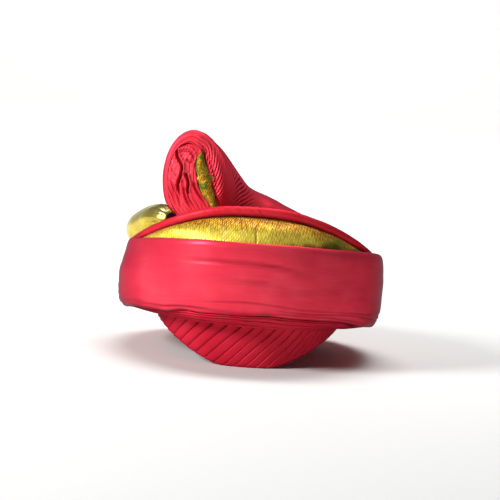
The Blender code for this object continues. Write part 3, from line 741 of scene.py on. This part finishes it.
crownCloth = {"columns": 480, "rise": 0.068, "folds": 24, "foldDepth": 0.0014, "twist": 0.5,
              "pole": (-0.18, 0.06)}


def crownEdge(angle):
    turned = centred(angle)
    out, lift, radius = edgePath(turned)
    seat = radius + 2 * ring["gap"]
    reach, thick = overhang(angle), goldPanel["thickness"]
    top = np.full_like(angle, ring["rise"] * 0.84 + 3 * ring["gap"])
    foot = 0.71 * reach - thick
    sink = 0.67 * thick
    front = [besideEdge(out, lift, seat, degrees) for degrees in (-168, -125)]
    front.append(((out + foot) / 2 - sink, (lift + top) / 2 - sink))
    front.append((foot - 0.5 * thick, top))
    lip, rise = 0.71 * reach, np.full_like(angle, ring["rise"])
    back = [(lip, rise), (lip - 2 * ring["gap"], rise * 0.965), (lip - 0.75 * thick, rise * 0.90),
            (lip - 1.25 * thick, top)]
    share = ease((np.abs(np.degrees(turned)) - 82) / 14)
    return [(near[0] + (far[0] - near[0]) * share, near[1] + (far[1] - near[1]) * share)
            for near, far in zip(front, back)]


def makeCrown():
    start = np.linspace(-pi, pi, crownCloth["columns"] + 1)
    rise = crownCloth["rise"]
    poleX = crownCloth["pole"][0] * head["halfWidth"]
    poleY = crownCloth["pole"][1] * head["halfLength"]
    rows, creaseShades = [], []
    for share in np.append(0, np.linspace(0.03, 1.0, 56)):
        angle = start + crownCloth["twist"] * (1 - share) ** 2
        out, lift = crownEdge(angle)[0]
        spot = ringPlace(angle, out, 0)
        x = poleX + (spot[:, 0] - poleX) * share
        y = poleY + (spot[:, 1] - poleY) * share
        lift = lift * share ** 2.6 + rise * (1 - share ** 2.6)
        wobble = 0.6 * hills(start * 3 / pi * 2, share * 3, 71, wrap=12)
        phase = (crownCloth["folds"] * (start + pi) / (2 * pi) + wobble) % 1.0
        ridge = pleatRise(phase, 0.8, 0.6) * crownCloth["foldDepth"] * share ** 0.8
        ridge = ridge + 0.0008 * hills(start * 3 / pi * 3, share * 7, 72, wrap=18) * share
        fade = 1 - ease((share - 0.93) / 0.07)
        # Painted shade in the fold valleys
        creaseShades.append(0.6 * ease((phase - 0.8) / 0.1) * ease((1.0 - phase) / 0.06) * fade
                       * ease(share * 4))
        z = ring["height"] - ring["slope"] * y + lift + ridge * fade
        rows.append(np.stack([x, y, z], -1))
    for out, lift in crownEdge(start):
        rows.append(ringPlace(start, out, lift))
    wallTop = ring["rise"] * 0.84 - 0.06 * overhang(start)
    rows.append(ringPlace(start, np.full_like(start, ring["gap"]), wallTop))
    base = rows[-1][:, 2]
    for share in (0.9, 0.65, 0.35, 0.0):
        under = base + (head["top"] - base) * (1 - share ** 5)
        under = np.maximum(under, domeHeight(share, head["top"])) + 2 * ring["gap"]
        if share == 0:
            under = np.full_like(start, head["top"] + 3 * ring["gap"])
        rows.append(oval(head["halfWidth"] * share, head["halfLength"] * share, start, under))
    creaseShades += [0 * start] * (len(rows) - len(creaseShades))
    return skin("crown_satin", np.array(rows), crease=np.array(creaseShades))


crown = makeCrown()
pressAgainst(crown, edge)
slipUnder(crown, roll)
dress(crown, "crown", bandSatin)


# Crest

crest = {"columns": 300, "rise": 0.146, "width": 0.066, "lean": 12, "mouthHeight": 0.76,
         "mouthLeft": 0.80, "mouthRight": 1.06, "mouthOffset": 0.12, "mouthDepth": 0.010,
         "strip": 0.013, "lipRows": 40, "fan": 14, "spacing": 0.0046, "pleatDepth": 0.0013,
         "path": ((-0.456, -0.350, 0.650, 0.440, 0.315, 12, 8),
                  (-0.440, -0.268, 0.664, 0.500, 0.336, 14, 10),
                  (-0.362, -0.075, 0.618, 0.480, 0.300, 28, 18),
                  (-0.170, 0.104, 0.465, 0.470, 0.243, 48, 22),
                  (0.115, 0.223, 0.400, 0.455, 0.199, 68, 16),
                  (0.464, 0.253, 0.315, 0.380, 0.150, 84, 12),
                  (0.680, 0.223, 0.247, 0.180, 0.055, 92, 12))}


def crestFrame(places):
    # Middle, the ways back, right and up, and the half width and height
    path = bend(crest["path"], places)
    x = path[:, 0] * (head["halfWidth"] + ring["sideOut"])
    y = path[:, 1] * (head["halfLength"] + ring["endOut"])
    middle = np.stack([x, y, ring["height"] - ring["slope"] * y + path[:, 2] * crest["rise"]], -1)
    yaw, pitch = np.radians(path[:, 5]), np.radians(path[:, 6])
    ahead = np.stack([np.sin(yaw) * np.cos(pitch), np.cos(yaw) * np.cos(pitch), -np.sin(pitch)], -1)
    side = np.cross(ahead, (0, 0, 1.0))
    side /= np.linalg.norm(side, axis=-1, keepdims=True)
    up = np.cross(side, ahead)
    lean = np.radians(crest["lean"]) * (1 - np.asarray(places) / (len(crest["path"]) - 1))
    lean = lean[:, None]
    side, up = side * np.cos(lean) + up * np.sin(lean), up * np.cos(lean) - side * np.sin(lean)
    return middle, ahead, side, up, path[:, 3] * crest["width"], path[:, 4] * crest["rise"]


mouthFrame = [part[0] for part in crestFrame(np.array([0.0]))]


def mouthLeft(height):
    bow = np.sqrt(np.clip(1 - height ** 2, 0, 1))
    return mouthFrame[4] * (-crest["mouthOffset"] - crest["mouthLeft"] * bow)


def stripLine(height):
    return mouthFrame[4] * (0.56 - 0.20 * height)


def mouthRight(height):
    bow = np.sqrt(np.clip(1 - height ** 2, 0, 1))
    oval = mouthFrame[4] * (crest["mouthRight"] * bow - crest["mouthOffset"])
    return np.minimum(oval, stripLine(height))


def mouthPlace(wide, height, deep):
    # The cloth is drawn up a little over the top left of the mouth
    middle, ahead, side, up, halfWidth, halfHeight = mouthFrame
    height = height * (1 + 0.12 * ease((height - 0.4) / 0.6) * ease(0.75 - 2.5 * wide / halfWidth))
    wide, height, deep = [part[..., None] for part in np.broadcast_arrays(wide, height, deep)]
    reach = halfHeight * crest["mouthHeight"]
    return middle + side * wide + up * (reach * height) + ahead * deep


def outward(points):
    # The way out of a tube whose rows run away from the viewer and whose columns go round
    loop = points[:, :-1]
    way = np.cross(np.gradient(loop, axis=0), np.roll(loop, -1, axis=1) - np.roll(loop, 1, axis=1))
    way /= np.maximum(np.linalg.norm(way, axis=-1, keepdims=True), 1e-12)
    return np.concatenate([way, way[:, :1]], axis=1)


def makeCrest():
    turns = np.linspace(0, 2 * pi, crest["columns"] + 1)
    up, right = np.sin(turns), np.cos(turns)
    inner = np.where(right > 0, mouthRight(up), mouthLeft(up))
    middle, ahead, side, high, halfWidth, halfHeight = mouthFrame
    corner = 0.0022 + 0.0008 * np.clip(up, 0, 1) + 0.0076 * ease(1.1 * right)
    outer = (middle + side * ((halfWidth - corner) * right)[:, None]
             + high * ((halfHeight - corner) * up)[:, None])
    hole = mouthPlace(inner, up, np.zeros_like(up))
    brim = np.linalg.norm(outer - hole, axis=1)
    facing = 0.25 + 0.75 * ease(0.5 + 0.8 * np.cos(turns - math.radians(40)))
    rows = [np.broadcast_to(hole.mean(axis=0) + ahead * crest["mouthDepth"], hole.shape)]
    for deep in np.linspace(1, 0.1, 6):
        rows.append(hole + ahead * crest["mouthDepth"] * deep)
    first = len(rows)
    for share in np.linspace(0, 1, crest["lipRows"]):
        bulge = 0.0018 * math.sin(pi * share ** 0.8) * ease(brim / 0.006) * facing
        rows.append(hole + (outer - hole) * share - ahead * bulge[:, None])
    last = len(crest["path"]) - 1
    places = last * np.append(np.linspace(0, 0.62, 226)[1:], np.linspace(0.62, 1, 51)[1:])
    frames = crestFrame(places)
    face = middle
    for index, place in enumerate(places):
        middle, _, side, high, halfWidth, halfHeight = [part[index] for part in frames]
        away = np.clip(np.linalg.norm(middle - face) / corner, 0, 1)
        inset = corner * (1 - np.sqrt(1 - (1 - away) ** 2))
        dents = hills(turns / (2 * pi) * 6, place * 2.2, 85, wrap=6)
        inset = inset - 0.0010 * dents * ease(place / 0.6)
        slim = 0.0044 * ease(np.cos(turns - 0.3) - 0.2) * ease(place / 0.9)
        inset = inset + slim * ease((3.6 - place) / 1.4)
        closing = math.sqrt(max(0.0, 1 - (place / last) ** 30))
        wide = (halfWidth - inset) * right * closing
        tall = (halfHeight - inset) * up * closing
        rows.append(middle + side * wide[:, None] + high * tall[:, None])
    points = np.array(rows)

    # Pleats rise from the gold strip, fan out over the flank and turn into arcs over the top
    steps = np.linalg.norm(np.diff(points[first:], axis=0), axis=2)
    inside = (up > 0) & (right > 0)
    steps[crest["lipRows"]:] = steps[crest["lipRows"]:, inside].mean(axis=1, keepdims=True)
    run = np.zeros(points.shape[:2])
    run[first + 1:] = np.cumsum(steps, axis=0)
    low = np.clip((up + 0.7) / 1.6, 0, 1)
    lines = run / crest["spacing"] + 1.6 * (1 - np.exp(-run / 0.008))
    lines = lines + crest["fan"] * np.where(right > 0, (1 - low) ** 1.4, np.where(up > 0, 0, 1))
    lines = lines + 0.25 * hills(turns / (2 * pi) * 8 + 0 * run, run * 110, 81, wrap=8)
    rise = pleatRise(lines % 1.0, 0.74, 0.6)
    calm = 0.2 + 0.8 * ease(0.55 + 0.8 * np.cos(turns - math.radians(48)))
    fade = calm * ease(run / 0.0012) * ease((0.100 - run) / 0.030)
    fade = fade * ease((0.030 + 0.06 * (up + 1) - run) / 0.016)
    soft = np.clip(hills(turns / (2 * pi) * 11 + 0 * run, run * 50, 84, wrap=11), 0, 1)
    depth = crest["pleatDepth"] * (1 + 0.6 * ease((run - 0.015) / 0.015))
    lift = depth * (rise - 0.75) * fade - 0.0008 * soft * (1 - fade) * ease(run / 0.004)
    points = points + outward(points) * lift[..., None]
    # Painted shade in the pleat valleys, stronger further from the mouth
    return skin("crest_wrap_satin", points,
                crease=(0.45 + 9 * run) * ease((0.4 - rise) / 0.4) * fade)


wrap = makeCrest()
restOn(wrap, crown)
pressAgainst(wrap, roll)
dress(wrap, "crest_wrap", crestSatin)


# Gathered folds and a gold border strip inside the crest's mouth

crestGold = {"rows": 130, "columns": 20, "thickness": 0.0012, "threads": 7,
             "widths": (0.62, 0.84, 0.96, 1.00, 0.96, 0.92, 0.82, 0.58, 0.10),
             "foot": -0.56, "tip": 0.86, "hem": -0.80}


def stripWidth(height):
    share = (height - crestGold["foot"]) / (crestGold["tip"] - crestGold["foot"])
    widths = np.array(crestGold["widths"])
    return crest["strip"] * bend(widths, share.ravel() * (len(widths) - 1)).reshape(share.shape)


def stripInner(height):
    return stripLine(height) - stripWidth(height)


# Each long fold has a depth, a width and its places, in shares of the mouth's half width and reach
crestFolds = {"columns": 190, "rows": 190, "reach": 0.985, "thickness": 0.0016, "strands": 7.0,
              "depth": 0.0005, "puff": 0.0016,
              "lines": (
    (0.0034, 0.0010, (-0.49, 0.90), (-0.48, 0.74), (-0.38, 0.58), (-0.37, 0.44), (-0.47, 0.24),
     (-0.55, 0.06), (-0.53, -0.19), (-0.43, -0.56)),
    (0.0034, 0.0009, (-0.26, 0.31), (-0.22, 0.15), (-0.21, 0.03), (-0.26, -0.12), (-0.25, -0.25)),
    (0.0009, 0.0009, (-0.25, -0.15), (-0.22, -0.37), (-0.08, -0.63)),
    (0.0018, 0.0009, (-0.19, 0.29), (-0.36, 0.30), (-0.47, 0.18), (-0.51, 0.06)),
    (0.0006, 0.0009, (-0.74, 0.60), (-0.68, 0.45), (-0.58, 0.30), (-0.54, 0.12)),
    (0.0007, 0.0010, (-0.86, 0.20), (-0.80, -0.10), (-0.73, -0.35), (-0.67, -0.63)),
    (0.0011, 0.0010, (-0.78, 0.21), (-0.69, -0.05), (-0.57, -0.33), (-0.53, -0.61)),
    (0.0016, 0.0009, (-0.38, -0.02), (-0.36, -0.26), (-0.29, -0.45), (-0.16, -0.67)),
    (0.0018, 0.0009, (-0.03, 0.07), (0.00, -0.12), (0.13, -0.34), (0.32, -0.59)),
    (0.0016, 0.0010, (-0.46, 0.84), (-0.23, 0.86), (-0.05, 0.83), (0.05, 0.72), (0.06, 0.58)),
    (0.0014, 0.0008, (-0.18, 0.66), (-0.08, 0.59), (0.04, 0.60)))}


def foldLines(wide, height):
    reach = mouthFrame[5] * crest["mouthHeight"]
    sunk, paintedShade = 0 * wide, 0 * wide
    for depth, width, *places in crestFolds["lines"]:
        line = bend(places, np.linspace(0, len(places) - 1, 60))
        far = np.hypot(wide[..., None] - line[:, 0] * mouthFrame[4],
                       reach * (height[..., None] - line[:, 1]))
        share = far.argmin(axis=-1) / 59
        near = far.min(axis=-1)
        strong = ease(0.35 + share * 6) * ease(0.1 + (1 - share) * 2.5)
        ridge = 0.35 * depth * groove(near - 2.3 * width, 1.5 * width)
        sunk += strong * (depth * groove(near, width) - ridge)
        # Painted shade along each long fold
        paintedShade += strong * 150 * depth * groove(near, 0.75 * width)
    return sunk, paintedShade


def makeStrands():
    height = crestFolds["reach"] * np.linspace(-1, 1, crestFolds["rows"] + 1)[:, None]
    across = np.linspace(0, 1, crestFolds["columns"] + 1)[None, :]
    left = mouthLeft(height) + 0.0003
    right = np.minimum(mouthRight(height), stripInner(height)) - 1.5 * ring["gap"]
    wide = left + (right - left) * across
    height = height + 0 * across
    # Soft strands sway between the long folds, merge and part on their way up
    lane = across * crestFolds["strands"] + 0.5 * np.sin(2.9 * height + 3 * across)
    lane = lane + 0.9 * hills(across * 3, height * 3.2, 91)
    some = ease(0.5 + hills(across * 4, height * 3, 92))
    soft = pleatRise(lane % 1.0, 0.8, 0.7) * (0.4 + 0.6 * some)
    sunk, paintedShade = foldLines(wide, height)
    puff = crestFolds["puff"] * np.sqrt(np.clip(np.sin(pi * across), 0, 1)) * (1 - height ** 6)
    tuck = 0.0012 * ease((height - 0.84) / 0.13)
    deep = sunk + tuck - puff - crestFolds["depth"] * soft * (1 - ease(paintedShade * 2))
    deep = deep + 0.0003 * np.clip(hills(lane * 4, height * 5, 93), 0, 1)
    deep = np.minimum(deep, crest["mouthDepth"] - 0.0026)
    # Painted shade in the long folds and between the strands
    piece = skin("gathered_strands", mouthPlace(wide, height, deep),
                 crease=paintedShade + 0.06 * ease((0.3 - soft) / 0.3))
    thicken(piece, crestFolds["thickness"])
    return piece


strands = makeStrands()
restOn(strands, crown)
dress(strands, "crest_folds", crestSatin)


# The strip stands out a little, and a few of its threads are frayed

def makeStrip():
    share = np.linspace(0, 1, crestGold["rows"] + 1)[:, None]
    height = crestGold["hem"] + (crestGold["tip"] - crestGold["hem"]) * share
    across = np.linspace(0, 1, crestGold["columns"] + 1)[None, :]
    outer = mouthRight(height) - 2 * ring["gap"]
    inner = mouthRight(height) - stripWidth(height)
    inner = np.minimum(inner + 0.0006 * hills(0 * height, share * 14, 94), outer - 0.0004)
    wide = inner + (outer - inner) * across
    swell = 0.0020 + 0.0016 * np.sin(pi * across) + 0.0006 * hills(across * 2, share * 9, 95)
    swell = swell + 0.0004 * np.clip(hills(across * 3, share * 26, 96), 0, 1)
    piece = skin("brocade_strip", mouthPlace(wide, height, -swell),
                 rise=0.55 + 0.4 * hills(across * 2, share * 9, 98))
    thicken(piece, crestGold["thickness"])
    # Frayed ends stand out from the strip's outer edge
    threads = []
    draw = np.random.default_rng(97)
    for number in range(crestGold["threads"]):
        foot = 0.02 + 0.035 * number + draw.uniform(-0.01, 0.01)
        length = draw.uniform(0.0035, 0.0065)
        tilt = draw.uniform(-0.10, 0.22)
        sides = np.linspace(0, 2 * pi, 7)[:, None]
        run = np.linspace(0, 1, 8)[None, :]
        width = mouthRight(np.array(foot)) - 0.0012 + length * run
        level = foot + tilt * run ** 1.5 * 0.5
        thick = 0.00022 * np.sqrt(np.clip(1 - run ** 8, 0, 1)) * (run > 0)
        tube = mouthPlace(width + 0 * sides, level + thick / 0.035 * np.cos(sides),
                          -0.0030 - 0.0015 * run + thick * np.sin(sides))
        threads.append(skin("thread", tube))
    bpy.ops.object.select_all(action="DESELECT")
    for thread in threads:
        thread.select_set(True)
    piece.select_set(True)
    bpy.context.view_layer.objects.active = piece
    bpy.ops.object.join()
    return piece


strip = makeStrip()
restOn(strip, crown)
dress(strip, "crest_gold", stripBrocade)
print("pieces made")


# Floor, light and camera

studio = {"key": 78, "fill": 1, "top": 12, "backdrop": 202, "world": 0.05, "floor": "#DEDEDC"}
paper = {"width": 14, "start": -3.0, "flat": 6.0, "bend": 1.5, "length": 9.0}
view = {"elevation": 8, "distance": 2.5, "roll": 4, "across": 0.475, "shift": 0.08}


def makeStudio():
    bpy.ops.object.select_all(action="DESELECT")
    bpy.ops.mesh.primitive_grid_add(x_subdivisions=2, y_subdivisions=40, size=1)
    floor = bpy.context.object
    floor.name = "studio_floor"
    for vertex in floor.data.vertices:
        x = vertex.co.x * paper["width"]
        run = (vertex.co.y + 0.5) * paper["length"]
        turn = min(max(run - paper["flat"], 0) / paper["bend"], pi / 2)
        y = paper["start"] + min(run, paper["flat"]) + paper["bend"] * math.sin(turn)
        climb = max(run - paper["flat"] - paper["bend"] * pi / 2, 0)
        z = paper["bend"] * (1 - math.cos(turn)) + climb
        vertex.co = (x, y, z - 0.0002)
    bpy.ops.object.shade_smooth()
    paint, _, _ = newMaterial("matt white backdrop paper", Base_Color=linear(studio["floor"]),
                              Roughness=0.9, Specular_IOR_Level=0.2)
    floor.data.materials.append(paint)


def addLight(name, place, energy, size, aim=(0, 0, 0.09), colour=(1, 1, 1)):
    bpy.ops.object.light_add(type="AREA", location=place)
    light = bpy.context.object
    light.name = name
    light.data.energy = energy
    light.data.shape = "DISK"
    light.data.size = size
    light.data.color = colour
    light.rotation_euler = (Vector(aim) - Vector(place)).to_track_quat("-Z", "Y").to_euler()


def makeCamera():
    target = Vector((0, 0, ring["height"]))
    elevation, distance = math.radians(view["elevation"]), view["distance"]
    away = Vector((0, -math.cos(elevation), math.sin(elevation)))
    bpy.ops.object.camera_add(location=target + away * distance)
    camera = bpy.context.object
    roll = Matrix.Rotation(math.radians(view["roll"]), 3, "Z")
    camera.rotation_euler = ((-away).to_track_quat("-Z", "Y").to_matrix() @ roll).to_euler()
    camera.data.sensor_width = 36
    camera.data.lens = 36 * distance / view["across"]
    camera.data.shift_y = view["shift"]
    bpy.context.scene.camera = camera


makeStudio()
addLight("key_light", (-1.94, -1.2, 1.25), studio["key"], 0.9)
addLight("backdrop_light", (0, 1.2, 3.4), studio["backdrop"], 2.5, aim=(0, 4.2, 0.6))
addLight("fill_light", (1.9, -0.9, 0.14), studio["fill"], 0.7)
addLight("top_light", (0.5, 0.5, 1.9), studio["top"], 1.2)
makeCamera()
scene = bpy.context.scene
world = bpy.data.worlds.new("studio")
scene.world = world
world.use_nodes = True
world.node_tree.nodes["Background"].inputs["Color"].default_value = (1, 1, 1, 1)
world.node_tree.nodes["Background"].inputs["Strength"].default_value = studio["world"]
scene.view_settings.view_transform = "Standard"
print("studio ready")
